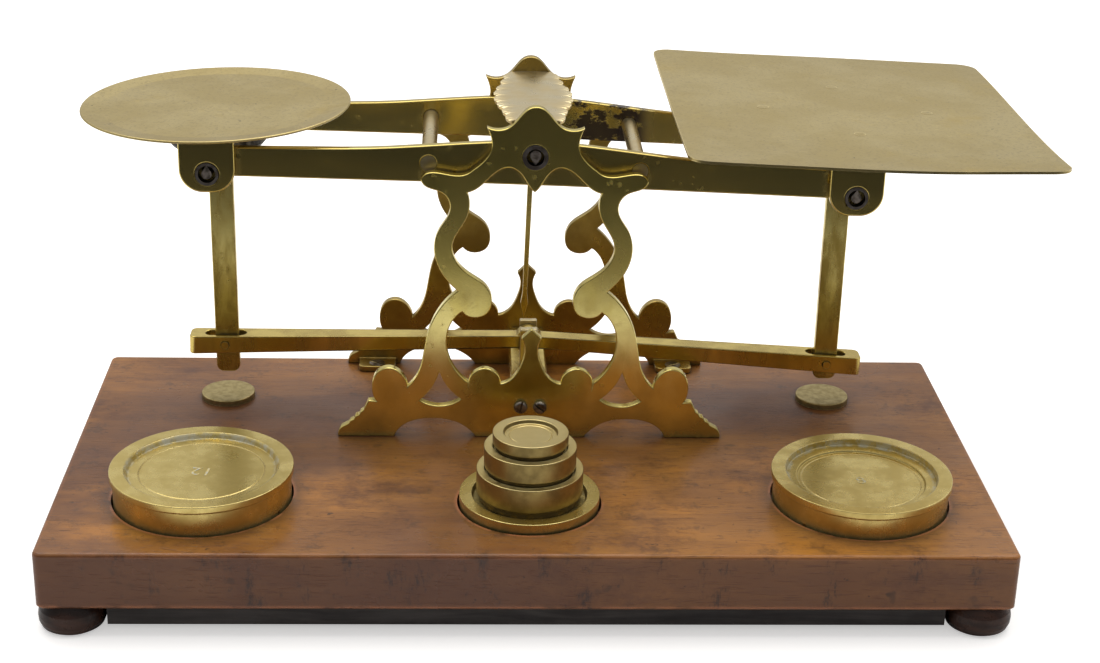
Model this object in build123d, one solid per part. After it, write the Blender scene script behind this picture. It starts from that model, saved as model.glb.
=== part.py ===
from build123d import *
import os
from math import cos, radians, sin

# Letter scale of the Roberval kind, millimetres, +X to the letter plate, +Y to the back, +Z up.
# It is drawn about the middle of the wooden base, standing on the floor at Z = 0, and every
# piece is moved at the end so that the origin is the middle of the whole scale's footprint.

# base
board_length, board_depth, board_thickness = 305.0, 152.0, 19.3
foot_height, foot_radius, foot_inset = 9.8, 10.6, 9.5
plinth_length, plinth_depth, plinth_gap = 263.0, 143.0, 2.0
board_top = foot_height + board_thickness

# the working plane that the pans hang in, and the two frames either side of it
centre_x, middle_y = 1.6, 41.0
frame_reach = 33.0
frame_thickness = 3.2
relief_depth, relief_slope = 0.5, 1.1

# beam: three knife edges in a shallow triangle, the middle one highest
arm = 107.0
knife_drop = 4.45
beam_tilt = 1.6
knife_height = 127.2
linkage_height = 75.2
bar_offset, bar_thickness = 26.7, 3.0
bush_outer, bush_inner = 4.2, 2.9
end_lobe_radius = 5.4
knife_gap = 0.03

# lower stay and the stems that it steadies
stay_end_width, stay_middle_width = 8.6, 5.2
stay_overhang = 12.5
pin_radius, pin_clearance = 1.3, 0.05
stem_width, stem_thickness = 8.2, 3.2
slot_length, slot_width = 14.4, 4.8
weight_stem_tail, letter_stem_tail = 11.2, 6.6
weight_stem_shift, letter_stem_shift = 0.6, 0.0

# pans
lug_width, lug_thickness, lug_face = 18.2, 2.8, 32.0
lug_drop = 6.3
strap_lift, strap_thickness = 7.4, 2.6
weight_pan_radius, weight_pan_height, weight_pan_lean = 45.3, 138.0, -1.3
letter_plate_size, letter_plate_height, letter_plate_lean = (121.0, 140.0), 138.0, 1.5
letter_plate_corner = 6.5
sheet = 1.2
rivet_reach, rivet_radius = 28.3, 2.0

# weights: place on the base and radius
weight_12_place, weight_12_radius = (-105.2, -35.9), 29.4
weight_8_place, weight_8_radius = (108.4, -36.6), 29.3
stack_place, stack_radius = (0.2, -39.8), 22.7
well_depth, shallow_well_depth, well_gap = 6.0, 2.5, 0.2
rest_gap = 0.05
weight_12_top, weight_8_top, weight_4_top, weight_2_top, weight_1_top = 39.5, 38.6, 32.4, 41.4, 49.3
weight_4_dish, weight_2_dish, weight_1_dish = 1.8, 1.6, 1.4

# fixings
tab_reach, tab_width, tab_length, tab_thickness = 55.0, 13.4, 8.0, 2.2
frame_screw_reach = 3.3
disc_radius, disc_thickness = 9.4, 2.0

# heights worked out from the sizes above
bush_height = knife_height + bush_inner
stay_height = knife_height - linkage_height
bridge_height = board_top + 11.5
top_plate_height = board_top + 112.9

parts = {}


def box_between(x, y, z):
    """A box from its low and high coordinates on each axis."""
    size = (x[1] - x[0], y[1] - y[0], z[1] - z[0])
    return Pos((x[0] + x[1]) / 2, (y[0] + y[1]) / 2, (z[0] + z[1]) / 2) * Box(*size)


def rod_along_y(radius, y, x=0.0, z=0.0):
    """A round rod between two Y coordinates."""
    return Pos(x, (y[0] + y[1]) / 2, z) * Rot(90, 0, 0) * Cylinder(radius, y[1] - y[0])


def slab_along_y(face, y):
    """An outline drawn in X and Z, made as thick as the span in Y."""
    return Pos(0, y[1], 0) * extrude(Plane.XZ * face, amount=y[1] - y[0])


def turned(*profile):
    """A round piece from its half section, points of radius and height."""
    return revolve(Plane.XZ * make_face(Polyline(*profile, close=True)), Axis.Z)


def stretch(*points):
    """One edge of an outline: a straight line, or a smooth curve through its points."""
    return Line(*points) if len(points) == 2 else Spline(*points)


def outline(*stretches):
    """A face bounded by stretches that follow one another."""
    return make_face([edge for points in stretches for edge in stretch(*points).edges()])


# ---------------------------------------------------------------- base

def base_board():
    board = Pos(0, 0, foot_height + board_thickness / 2) * Box(board_length, board_depth, board_thickness)
    board = fillet(board.edges().filter_by(Axis.Z), 2.5)
    board = fillet(board.faces().sort_by(Axis.Z)[-1].edges(), 1.2)
    board = chamfer(board.faces().sort_by(Axis.Z)[0].edges(), 0.8)
    for (x, y), radius, depth in (
        (weight_12_place, weight_12_radius - well_gap, well_depth),
        (weight_8_place, weight_8_radius - well_gap, shallow_well_depth),
        (stack_place, stack_radius + 3.5 * well_gap, well_depth),
    ):
        board -= Pos(x, y, board_top - depth / 2) * Cylinder(radius, depth)
    return board


def plinth_panel():
    x, y = plinth_length / 2, plinth_depth / 2
    return box_between((-x, x), (-y, y), (plinth_gap, foot_height))


def foot(side, end):
    bun = turned((0, 0), (8.4, 0), (9.8, 0.9), (10.5, 2.6), (10.6, 4.4), (10.2, 6.6), (9.2, 8.4),
                 (8.4, foot_height), (0, foot_height))
    x = side * (board_length / 2 - foot_inset)
    y = end * (board_depth / 2 - foot_inset)
    return Pos(x, y, 0) * bun


def stop_disc(x):
    disc = Cylinder(disc_radius, disc_thickness, align=(Align.CENTER, Align.CENTER, Align.MIN))
    disc = fillet(disc.edges().sort_by(Axis.Z)[-1], 0.4)
    return Pos(x, middle_y, board_top) * disc


# ---------------------------------------------------------------- frames
# The right half of a frame's outline, as distance from the middle and height above the board.

finial = ((0, 118.0), (2.4, 117.4), (5.8, 113.9), (9.2, 110.8), (12.5, 110.1), (16.0, 111.1))
neck = ((16.0, 111.1), (14.6, 107.5), (14.4, 103.6), (16.3, 100.1), (20.2, 96.6))
arm_top = ((20.2, 96.6), (26.2, 94.5), (31.6, 95.4), (35.4, 95.2), (37.5, 92.9))
scroll = ((37.5, 92.9), (35.6, 90.4), (30.6, 88.5), (28.0, 85.0), (28.4, 80.6), (31.1, 76.2),
          (32.9, 71.4), (32.7, 65.6), (30.3, 59.8), (25.2, 54.0))
leg = ((25.2, 54.0), (30.6, 48.4), (34.4, 41.2), (36.2, 33.4), (37.6, 26.2), (42.0, 18.8))
lobe = ((42.0, 18.8), (44.3, 23.8), (47.8, 25.7), (51.6, 24.7), (54.1, 19.8), (52.8, 13.3))
step = ((52.8, 13.3), (55.5, 13.5))
toe = ((55.5, 13.5), (56.6, 11.2), (57.2, 9.8), (58.1, 9.3), (58.7, 8.1), (59.9, 7.7), (60.5, 6.4),
       (61.7, 5.9), (62.4, 4.8), (64.6, 3.6), (65.5, 2.6), (66.0, 1.2), (66.0, 0))
toe_steps = tuple(zip(toe, toe[1:]))
heel = ((66.0, 0), (46.7, 0))
arch = ((46.7, 0), (44.0, 3.9), (39.0, 6.3), (33.0, 6.9), (26.4, 5.9), (21.6, 3.2), (18.6, 0))
sole = ((18.6, 0), (0, 0))
middle_line = ((0, 0), (0, 118.0))

crown = ((0, 88.9), (1.8, 90.8), (4.6, 95.2), (8.4, 97.4), (12.6, 95.8), (17.2, 91.4), (22.2, 88.6))
inner_scroll = ((22.2, 88.6), (21.3, 84.0), (22.2, 79.8), (25.2, 74.6), (27.0, 69.0), (25.2, 63.8),
                (20.6, 59.5), (15.6, 55.7), (13.6, 50.4), (15.0, 46.0), (19.2, 44.3), (23.6, 46.4))
inner_leg = ((23.6, 46.4), (27.4, 41.9), (28.8, 34.6), (26.6, 26.6), (21.2, 20.4))
inner_lobe = ((21.2, 20.4), (19.2, 24.2), (16.0, 25.5), (12.6, 24.4), (10.3, 19.8))
prong = ((10.3, 19.8), (6.1, 22.2), (3.4, 27.3), (2.3, 32.1), (3.5, 36.6))
prong_tip = ((3.5, 36.6), (0, 40.0))
window_line = ((0, 40.0), (0, 88.9))

window_top, window_right, window_left = (31.2, 24.2), (37.9, 13.7), (23.8, 14.2)


def both_sides(face):
    return face + mirror(face, Plane.YZ)


def frame_face():
    upper = (finial, neck, arm_top, scroll)
    lower = (leg, lobe, step, *toe_steps, heel, arch, sole)
    silhouette = outline(*upper, *lower, middle_line)
    window = outline(crown, inner_scroll, inner_leg, inner_lobe, prong, prong_tip, window_line)
    triangle = make_face([
        *ThreePointArc(window_top, (33.9, 18.3), window_right).edges(),
        *ThreePointArc(window_right, (31.0, 11.6), window_left).edges(),
        *ThreePointArc(window_left, (28.3, 18.6), window_top).edges(),
    ])
    return both_sides(silhouette - window - triangle)


def relief_face(drop):
    """Area round the prong that is let into the frame, ending in a curve that hangs lower by drop."""
    low, high = 14.2 - drop, 18.6 - drop
    smile = ThreePointArc((-21.3, high), (0, low), (21.3, high))
    lid = Polyline((21.3, high), (21.3, 44.0), (-21.3, 44.0), (-21.3, high))
    return make_face([*smile.edges(), *lid.edges()])


def relief(outward):
    """The let-in area as a cutter, its lower side sloping from the face down to its depth."""
    outer = middle_y + outward * frame_reach
    surface = Pos(0, outer, 0) * (Plane.XZ * relief_face(relief_slope))
    floor = Pos(0, outer - outward * relief_depth, 0) * (Plane.XZ * relief_face(0))
    return loft([surface, floor])


def foot_tabs(inner_y, outward):
    """Two tabs bent inwards from a frame's feet, which the wood screws go through."""
    far = inner_y - outward * tab_length
    tabs = []
    for side in (-1, 1):
        x = centre_x + side * tab_reach
        wide = (x - tab_width / 2, x + tab_width / 2)
        tab = box_between(wide, sorted((inner_y, far)), (board_top, board_top + tab_thickness))
        corners = tab.edges().filter_by(Axis.Z).sort_by(Axis.Y)
        tabs.append(fillet(corners[2:] if outward < 0 else corners[:2], 2.4))
    return tabs


def frame(outward):
    """outward is -1 for the front frame and 1 for the rear one."""
    outer = middle_y + outward * frame_reach
    inner = outer - outward * frame_thickness
    plate = slab_along_y(frame_face(), sorted((outer, inner)))
    plate -= relief(outward)
    plate = Pos(centre_x, 0, board_top) * plate
    plate -= rod_along_y(bush_outer, sorted((outer, inner)), centre_x, bush_height)
    for tab in foot_tabs(inner, outward):
        plate += tab
    return plate


def frame_bush(outward):
    outer = middle_y + outward * (frame_reach + 0.25)
    inner = middle_y + outward * (frame_reach - frame_thickness)
    y = sorted((outer, inner))
    bush = rod_along_y(bush_outer, y, centre_x, bush_height)
    return bush - rod_along_y(bush_inner, y, centre_x, bush_height)


def wood_screw(side, outward):
    """Countersunk screw through a foot tab into the board."""
    x = centre_x + side * tab_reach
    y = middle_y + outward * (frame_reach - frame_thickness - tab_length / 2 - 0.2)
    top = board_top + tab_thickness
    body = turned((0, 0), (2.9, 0), (1.4, -1.7), (1.4, -9.0), (0, -11.0))
    body -= Rot(0, 0, 35 * side) * Box(6.4, 0.7, 1.2)
    return Pos(x, y, top) * body


def frame_screw(side, outward, turn):
    """Round-headed screw through a frame into the bridge bar."""
    head = Cylinder(2.3, 1.4, align=(Align.CENTER, Align.CENTER, Align.MIN))
    head = fillet(head.edges().sort_by(Axis.Z)[-1], 1.0)
    head -= Pos(0, 0, 1.1) * Rot(0, 0, turn) * Box(6.0, 0.7, 1.0)
    shank = Cylinder(1.3, 10.0, align=(Align.CENTER, Align.CENTER, Align.MAX))
    y = middle_y + outward * frame_reach
    facing = Rot(90 if outward < 0 else -90, 0, 0)
    return Pos(centre_x + side * frame_screw_reach, y, bridge_height) * facing * (head + shank)


def bridge_bar():
    inner = frame_reach - frame_thickness
    bar = box_between((centre_x - 6.5, centre_x + 6.5), (middle_y - inner, middle_y + inner),
                      (bridge_height - 3.5, bridge_height + 3.5))
    return chamfer(bar.edges().filter_by(Axis.Y), 0.6)


def stay_fork():
    """Forked post on the bridge bar that the stay's middle pin goes through."""
    foot_z = bridge_height + 3.5
    top_z = stay_height + 5.9
    wide, deep = (centre_x - 3.1, centre_x + 3.1), (middle_y - 5.65, middle_y + 5.65)
    post = box_between(wide, deep, (foot_z, top_z))
    post = chamfer(post.faces().sort_by(Axis.Z)[-1].edges(), 0.4)
    half = stay_middle_width / 2 + 0.3
    gap = (middle_y - half, middle_y + half)
    post -= box_between((centre_x - 4, centre_x + 4), gap, (foot_z + 2.0, top_z + 1))
    return post - rod_along_y(pin_radius, (middle_y - 6, middle_y + 6), centre_x, stay_height)


def stay_pivot_pin():
    return rod_along_y(pin_radius, (middle_y - 5.9, middle_y + 5.9), centre_x, stay_height)


def top_plate():
    """Scalloped plate that ties the heads of the two frames together."""
    inner = frame_reach - frame_thickness
    cusps = ((8.0, inner), (9.4, 21.8), (10.2, 14.6), (12.2, 7.4), (12.5, 0))
    edges = []
    for side in (-1, 1):
        for end in (-1, 1):
            for (x1, y1), (x2, y2) in zip(cusps, cusps[1:]):
                bulge = ((x1 + x2) / 2 + 1.1, (y1 + y2) / 2)
                scallop = [(side * x, end * y) for x, y in ((x1, y1), bulge, (x2, y2))]
                edges += ThreePointArc(*scallop).edges()
    for end in (-1, 1):
        edges += Line((-8.0, end * inner), (8.0, end * inner)).edges()
    plate = extrude(make_face(edges), amount=1.6)
    plate = Pos(centre_x, middle_y, top_plate_height - 1.6) * plate
    rib = box_between((centre_x - 4, centre_x + 4), (middle_y - inner, middle_y + inner),
                      (top_plate_height - 3.4, top_plate_height - 1.6))
    return plate + rib


# ---------------------------------------------------------------- beam, drawn level about its knife edge

def on_beam(shape):
    return Pos(centre_x, 0, knife_height) * Rot(0, beam_tilt, 0) * shape


def knife_section(radius, height):
    """Pear-shaped section of a knife bar, its point at the origin and its round back above."""
    round_z = height - radius
    touch = radius / round_z
    x, z = radius * (1 - touch ** 2) ** 0.5, round_z - radius * touch
    return make_face([
        *Line((0, 0), (x, z)).edges(),
        *ThreePointArc((x, z), (0, height), (-x, z)).edges(),
        *Line((-x, z), (0, 0)).edges(),
    ])


def middle_knife():
    reach = frame_reach - 0.5
    bar = slab_along_y(knife_section(1.8, 5.1), (middle_y - reach, middle_y + reach))
    return Pos(0, 0, knife_gap) * bar


def end_knife(side, outward):
    """Short knife pin, its edge upwards, set in a beam bar and standing out through the pan's lug."""
    outer, inner = lug_face - 0.2, bar_offset - bar_thickness / 2
    y = sorted((middle_y + outward * outer, middle_y + outward * inner))
    bar = slab_along_y(Rot(0, 0, 180) * knife_section(1.65, 4.6), y)
    return Pos(side * arm, 0, -knife_drop - knife_gap) * bar


def spacer_rod(side):
    reach = bar_offset + bar_thickness / 2
    return rod_along_y(2.6, (middle_y - reach, middle_y + reach), side * 35.0, -2.0)


def beam_bar(outward):
    belly = ((-110.5, -9.1), (-60.0, -8.6), (0, -8.3), (60.0, -8.6), (110.5, -9.1))
    back = ((110.5, 0.5), (97.0, 1.0), (50.0, 2.7), (16.0, 5.9), (0, 6.6), (-16.0, 5.9), (-50.0, 2.7),
            (-97.0, 1.0), (-110.5, 0.5))
    face = make_face([
        *Spline(*belly).edges(),
        *ThreePointArc((110.5, -9.1), (114.6, -4.3), (110.5, 0.5)).edges(),
        *Spline(*back).edges(),
        *ThreePointArc((-110.5, 0.5), (-114.6, -4.3), (-110.5, -9.1)).edges(),
    ])
    near, far = bar_offset - bar_thickness / 2, bar_offset + bar_thickness / 2
    y = sorted((middle_y + outward * near, middle_y + outward * far))
    bar = slab_along_y(face, y)
    for side in (-1, 1):
        bar += rod_along_y(end_lobe_radius, y, side * arm, -knife_drop - bush_inner)
    bar -= middle_knife()
    for side in (-1, 1):
        bar -= end_knife(side, outward)
        bar -= spacer_rod(side)
    return bar


def pointer():
    """Needle on a collar round the middle knife, with a lozenge just above its tip."""
    blade = outline(
        ((-0.95, 0), (-0.8, -57.4)), ((-0.8, -57.4), (-1.35, -61.2)), ((-1.35, -61.2), (-0.55, -64.6)),
        ((-0.55, -64.6), (0, -67.4)), ((0, -67.4), (0.55, -64.6)), ((0.55, -64.6), (1.35, -61.2)),
        ((1.35, -61.2), (0.8, -57.4)), ((0.8, -57.4), (0.95, 0)), ((0.95, 0), (-0.95, 0)),
    )
    needle = slab_along_y(blade, (middle_y - 0.7, middle_y + 0.7))
    collar = rod_along_y(4.4, (middle_y - 3.0, middle_y + 3.0), 0, 3.0)
    return needle + collar - middle_knife()


# ---------------------------------------------------------------- stay, drawn level about its middle pin

def on_stay(shape):
    return Pos(centre_x, 0, stay_height) * Rot(0, beam_tilt, 0) * shape


def stay():
    reach = arm + stay_overhang
    fall = knife_drop * reach / arm
    side_view = make_face(Polyline(
        (-reach, -fall + 3.3), (0, 2.2), (reach, -fall + 3.3),
        (reach, -fall - 3.3), (0, -2.2), (-reach, -fall - 3.3), close=True))
    width = stay_end_width
    bar = slab_along_y(side_view, (middle_y - width / 2, middle_y + width / 2))
    plan = make_face(Polyline(
        (-reach, middle_y - width / 2), (0, middle_y - stay_middle_width / 2), (reach, middle_y - width / 2),
        (reach, middle_y + width / 2), (0, middle_y + stay_middle_width / 2), (-reach, middle_y + width / 2),
        close=True))
    bar &= Pos(0, 0, -20) * extrude(plan, amount=40)
    ends = bar.edges().filter_by(Axis.Z).group_by(Axis.X)
    bar = fillet(list(ends[0]) + list(ends[-1]), 2.2)
    half = stay_middle_width / 2
    bar += rod_along_y(4.8, (middle_y - half, middle_y + half))
    for x, z in ((-arm, -knife_drop), (arm, -knife_drop)):
        bar -= Pos(x, middle_y, z - 9) * extrude(SlotOverall(slot_length, slot_width), amount=18)
        bar -= rod_along_y(pin_radius + pin_clearance, (middle_y - width, middle_y + width), x, z)
    return bar - rod_along_y(pin_radius + pin_clearance, (middle_y - width, middle_y + width))


# ---------------------------------------------------------------- pans, drawn upright about their knife edge

def knife_edge(side):
    """Where an end knife's edge is with the beam at its resting tilt."""
    t = radians(beam_tilt)
    x, z = side * arm, -knife_drop
    return centre_x + x * cos(t) + z * sin(t), knife_height - x * sin(t) + z * cos(t)


def on_pan(side, shape):
    x, z = knife_edge(side)
    return Pos(x, 0, z) * shape


def pan_bracket(stem_hole):
    """Strap under the pan with a lug bent down at each end, outside the beam's bars."""
    top = strap_lift + strap_thickness
    bottom = -bush_inner - lug_drop
    wide = (-lug_width / 2, lug_width / 2)
    strap = box_between(wide, (middle_y - lug_face, middle_y + lug_face), (strap_lift, top))
    for outward in (-1, 1):
        y = sorted((middle_y + outward * lug_face, middle_y + outward * (lug_face - lug_thickness)))
        lug = box_between(wide, y, (bottom, top))
        lug = fillet(lug.edges().filter_by(Axis.Y).group_by(Axis.Z)[0], 7.6)
        lug -= rod_along_y(3.8, y, 0, -bush_inner)
        strap += lug
    strap = fillet(strap.edges().filter_by(Axis.X).sort_by(Axis.Z)[-2:], 1.6)
    return strap - stem_hole


def lug_bush(outward):
    y = sorted((middle_y + outward * (lug_face + 0.2), middle_y + outward * (lug_face - lug_thickness)))
    return rod_along_y(3.8, y, 0, -bush_inner) - rod_along_y(bush_inner, y, 0, -bush_inner)


def stem(tail, shift):
    """Flat bar from the strap down through the stay's slot, rounded at the foot."""
    low = -linkage_height - tail
    half = stem_width / 2
    bar = box_between((shift - half, shift + half), (middle_y - stem_thickness / 2, middle_y + stem_thickness / 2),
                      (low, strap_lift + strap_thickness))
    bar = fillet(bar.edges().filter_by(Axis.Y).group_by(Axis.Z)[0], 2.6)
    return bar - rod_along_y(pin_radius, (middle_y - 5, middle_y + 5), 0, -linkage_height)


def stem_pin():
    return rod_along_y(pin_radius, (middle_y - 4.7, middle_y + 4.7), 0, -linkage_height)


def stem_hole(shift):
    half = stem_width / 2
    deep = (middle_y - stem_thickness / 2, middle_y + stem_thickness / 2)
    return box_between((shift - half, shift + half), deep, (-20, 20))


def balance_weight():
    """Turned lead disc under the strap that makes the round pan as heavy as the letter plate."""
    low, high = -1.6, strap_lift
    disc = turned((0, low), (15.4, low), (16.6, low + 1.4), (16.6, high), (0, high))
    return Pos(0, middle_y, 0) * disc - stem_hole(weight_stem_shift)


def weight_pan():
    """Round pan, almost flat, with a slightly raised rim."""
    top = weight_pan_height - knife_edge(-1)[1]
    r = weight_pan_radius
    dish = turned((0, -0.8), (r - 7.0, -0.8), (r - 0.5, 0), (r, -0.1), (r, -0.5), (r - 0.3, -sheet),
                  (r - 6.8, -0.8 - sheet), (0, -0.8 - sheet))
    return Pos(0, middle_y, top) * Rot(0, weight_pan_lean, 0) * dish


def letter_plane(shape):
    top = letter_plate_height - knife_edge(1)[1]
    return Pos(0, middle_y, top) * Rot(0, letter_plate_lean, 0) * shape


def rivet_places():
    return ((-rivet_reach, 0), (rivet_reach, 0), (0, -rivet_reach), (0, rivet_reach))


def letter_rivet(place):
    x, y = place
    body = turned((0, 0), (rivet_radius, 0), (rivet_radius - 0.6, -sheet), (rivet_radius - 0.6, -sheet - 1.9),
                  (rivet_radius + 0.2, -sheet - 1.9), (rivet_radius - 0.2, -sheet - 2.9), (0, -sheet - 3.1))
    return letter_plane(Pos(x, y, 0) * body)


def letter_plate():
    length, depth = letter_plate_size
    plate = Pos(0, 0, -sheet / 2) * Box(length, depth, sheet)
    plate = fillet(plate.edges().filter_by(Axis.Z), letter_plate_corner)
    return letter_plane(plate)


def rounded_bar(length, width, thickness):
    bar = Box(length, width, thickness)
    return fillet(bar.edges().filter_by(Axis.Z), 3.5)


def letter_spider():
    """Four-armed casting between the strap and the letter plate."""
    span = 2 * (rivet_reach + 4.0)
    arms = Pos(0, 0, -sheet - 0.95) * (rounded_bar(span, 9.0, 1.9) + rounded_bar(9.0, span, 1.9))
    hub_top = letter_plate_height - knife_edge(1)[1] - sheet - 1.0
    hub_low = strap_lift + strap_thickness
    hub = Pos(0, middle_y, 0) * turned((0, hub_low), (9.0, hub_low), (11.0, hub_top), (0, hub_top))
    return letter_plane(arms) + hub


def weight_pan_seat():
    """Thin washer that fills the gap between the strap and the leaning pan."""
    low = strap_lift + strap_thickness
    washer = Cylinder(8.6, 1.1, align=(Align.CENTER, Align.CENTER, Align.MIN))
    return Pos(0, middle_y, low) * washer - weight_pan()


# ---------------------------------------------------------------- weights

def weight_12():
    r, low, top = weight_12_radius, board_top - well_depth + rest_gap, weight_12_top
    return turned((0, low), (r - 1.5, low), (r - 0.9, low + 0.6), (r - 0.9, top - 2.6), (r, top - 2.2),
                  (r, top - 0.5), (r - 0.5, top), (r - 4.8, top), (r - 5.8, top - 1.9), (0, top - 1.9))


def weight_8():
    r, low, top = weight_8_radius, board_top - shallow_well_depth + rest_gap, weight_8_top
    return turned((0, low), (r - 1.5, low), (r - 0.9, low + 0.6), (r - 0.9, top - 2.6), (r, top - 2.2),
                  (r, top - 0.5), (r - 0.5, top), (r - 4.8, top), (r - 5.2, top - 2.2), (r - 8.7, top - 2.4),
                  (r - 9.0, top - 3.2), (0, top - 3.2))


def weight_4():
    low, top = board_top - well_depth + rest_gap, weight_4_top
    r, floor = stack_radius, weight_4_top - weight_4_dish
    return turned((0, low), (r - 0.6, low), (r, low + 0.6), (r, top - 0.5), (r - 0.5, top), (18.6, top),
                  (18.2, top - 0.4), (18.2, floor), (0, floor))


def weight_2():
    low, top = weight_4_top - weight_4_dish + rest_gap, weight_2_top
    floor = top - weight_2_dish
    return turned((0, low), (15.8, low), (16.3, low + 0.5), (16.3, low + 1.9), (17.2, low + 2.6),
                  (17.2, top - 0.4), (16.8, top), (14.7, top), (14.4, top - 0.3), (14.4, floor), (0, floor))


def weight_1():
    low, top = weight_2_top - weight_2_dish + rest_gap, weight_1_top
    floor = top - weight_1_dish
    return turned((0, low), (13.5, low), (13.9, low + 0.4), (13.9, low + 2.1), (14.85, low + 2.7),
                  (14.85, top - 0.4), (14.45, top), (12.0, top), (11.7, top - 0.3), (11.7, floor), (0, floor))


def weight_half():
    low, top = weight_1_top - weight_1_dish + rest_gap, 54.1
    return turned((0, low), (11.0, low), (11.4, low + 0.4), (11.4, low + 1.5), (12.15, low + 2.0),
                  (12.15, top - 0.4), (11.75, top), (9.4, top), (7.0, top - 1.5), (0, top - 1.5))


def at_place(place, shape):
    return Pos(place[0], place[1], 0) * shape


# ---------------------------------------------------------------- everything, by name

side_names = {-1: "left", 1: "right"}
end_names = {-1: "front", 1: "rear"}

parts["base_board"] = base_board()
parts["plinth_panel"] = plinth_panel()
for end in (-1, 1):
    for side in (-1, 1):
        parts[f"foot_{end_names[end]}_{side_names[side]}"] = foot(side, end)
for side in (-1, 1):
    parts[f"stop_disc_{side_names[side]}"] = stop_disc(knife_edge(side)[0])

parts["bridge_bar"] = bridge_bar()
parts["stay_fork"] = stay_fork()
parts["stay_pivot_pin"] = stay_pivot_pin()
parts["top_plate"] = top_plate()
slot_turns = {(-1, -1): 75, (1, -1): -38, (-1, 1): 20, (1, 1): 110}
for end in (-1, 1):
    parts[f"{end_names[end]}_frame"] = frame(end)
    parts[f"{end_names[end]}_frame_bush"] = frame_bush(end)
    for side in (-1, 1):
        wood = wood_screw(side, end)
        parts[f"wood_screw_{end_names[end]}_{side_names[side]}"] = wood
        parts["base_board"] -= wood
        parts[f"{end_names[end]}_frame"] -= wood
        screw = frame_screw(side, end, slot_turns[side, end])
        parts[f"frame_screw_{end_names[end]}_{side_names[side]}"] = screw
        parts[f"{end_names[end]}_frame"] -= screw
        parts["bridge_bar"] -= screw

parts["middle_knife"] = on_beam(middle_knife())
parts["pointer"] = on_beam(pointer())
for end in (-1, 1):
    parts[f"beam_{end_names[end]}_bar"] = on_beam(beam_bar(end))
    for side in (-1, 1):
        parts[f"end_knife_{side_names[side]}_{end_names[end]}"] = on_beam(end_knife(side, end))
for side in (-1, 1):
    parts[f"spacer_rod_{side_names[side]}"] = on_beam(spacer_rod(side))
parts["stay"] = on_stay(stay())

for side, name, tail, shift in (
    (-1, "weight", weight_stem_tail, weight_stem_shift),
    (1, "letter", letter_stem_tail, letter_stem_shift),
):
    parts[f"{name}_bracket"] = on_pan(side, pan_bracket(stem_hole(shift)))
    parts[f"{name}_stem"] = on_pan(side, stem(tail, shift))
    parts[f"{name}_stem_pin"] = on_pan(side, stem_pin())
    for end in (-1, 1):
        parts[f"{name}_bush_{end_names[end]}"] = on_pan(side, lug_bush(end))
parts["balance_weight"] = on_pan(-1, balance_weight())
parts["weight_pan"] = on_pan(-1, weight_pan())
parts["weight_pan_seat"] = on_pan(-1, weight_pan_seat())
parts["letter_plate"] = on_pan(1, letter_plate())
parts["letter_spider"] = on_pan(1, letter_spider() - letter_plate())
for number, place in enumerate(rivet_places(), start=1):
    rivet = on_pan(1, letter_rivet(place))
    parts[f"letter_rivet_{number}"] = rivet
    parts["letter_plate"] -= rivet
    parts["letter_spider"] -= rivet

parts["weight_12_oz"] = at_place(weight_12_place, weight_12())
parts["weight_8_oz"] = at_place(weight_8_place, weight_8())
parts["weight_4_oz"] = at_place(stack_place, weight_4())
parts["weight_2_oz"] = at_place(stack_place, weight_2())
parts["weight_1_oz"] = at_place(stack_place, weight_1())
parts["weight_half_oz"] = at_place(stack_place, weight_half())

# ---------------------------------------------------------------- origin at the middle of the footprint

boxes = [shape.bounding_box() for shape in parts.values()]
footprint_x = (min(b.min.X for b in boxes) + max(b.max.X for b in boxes)) / 2
footprint_y = (min(b.min.Y for b in boxes) + max(b.max.Y for b in boxes)) / 2

os.makedirs("parts", exist_ok=True)
for name, shape in parts.items():
    export_step(Pos(-footprint_x, -footprint_y, 0) * shape, f"parts/{name}.step")
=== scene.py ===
from math import cos, radians, sin, tau

import bmesh
import bpy
from mathutils import Matrix, Vector, noise


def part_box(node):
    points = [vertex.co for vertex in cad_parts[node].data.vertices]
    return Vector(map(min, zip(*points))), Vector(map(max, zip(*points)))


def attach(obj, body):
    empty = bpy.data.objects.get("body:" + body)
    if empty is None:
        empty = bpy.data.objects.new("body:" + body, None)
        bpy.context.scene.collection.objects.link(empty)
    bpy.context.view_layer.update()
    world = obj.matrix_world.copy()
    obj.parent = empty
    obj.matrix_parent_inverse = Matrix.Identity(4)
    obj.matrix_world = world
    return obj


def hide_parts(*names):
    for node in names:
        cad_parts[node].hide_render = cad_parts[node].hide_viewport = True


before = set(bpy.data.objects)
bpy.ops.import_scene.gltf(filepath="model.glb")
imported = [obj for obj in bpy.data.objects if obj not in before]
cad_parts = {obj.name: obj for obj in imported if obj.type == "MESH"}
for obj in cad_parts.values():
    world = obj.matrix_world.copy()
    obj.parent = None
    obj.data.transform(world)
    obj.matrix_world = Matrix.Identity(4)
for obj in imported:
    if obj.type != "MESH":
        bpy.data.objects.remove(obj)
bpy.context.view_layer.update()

# ---- Base board -------------------------------------------------------------------------------
# One mahogany board with wells cut for the weights. It is French polished, and worn pale along
# its edges, with painted shade where the brass stands on it. Grain runs along its length.

board_low, board_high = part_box("base_board")
mahogany_light = (0.4, 0.17, 0.036, 1.0)
mahogany_mid = (0.235, 0.093, 0.023, 1.0)
mahogany_dark = (0.1, 0.032, 0.013, 1.0)
mahogany_warm = (0.6, 0.24, 0.03, 1.0)
mahogany_worn = (0.56, 0.21, 0.09, 1.0)
# Dark colour for dents, spots and scratches, and for painted shade where the brass stands.
stain_and_shade = (0.025, 0.014, 0.011, 1.0)


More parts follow.
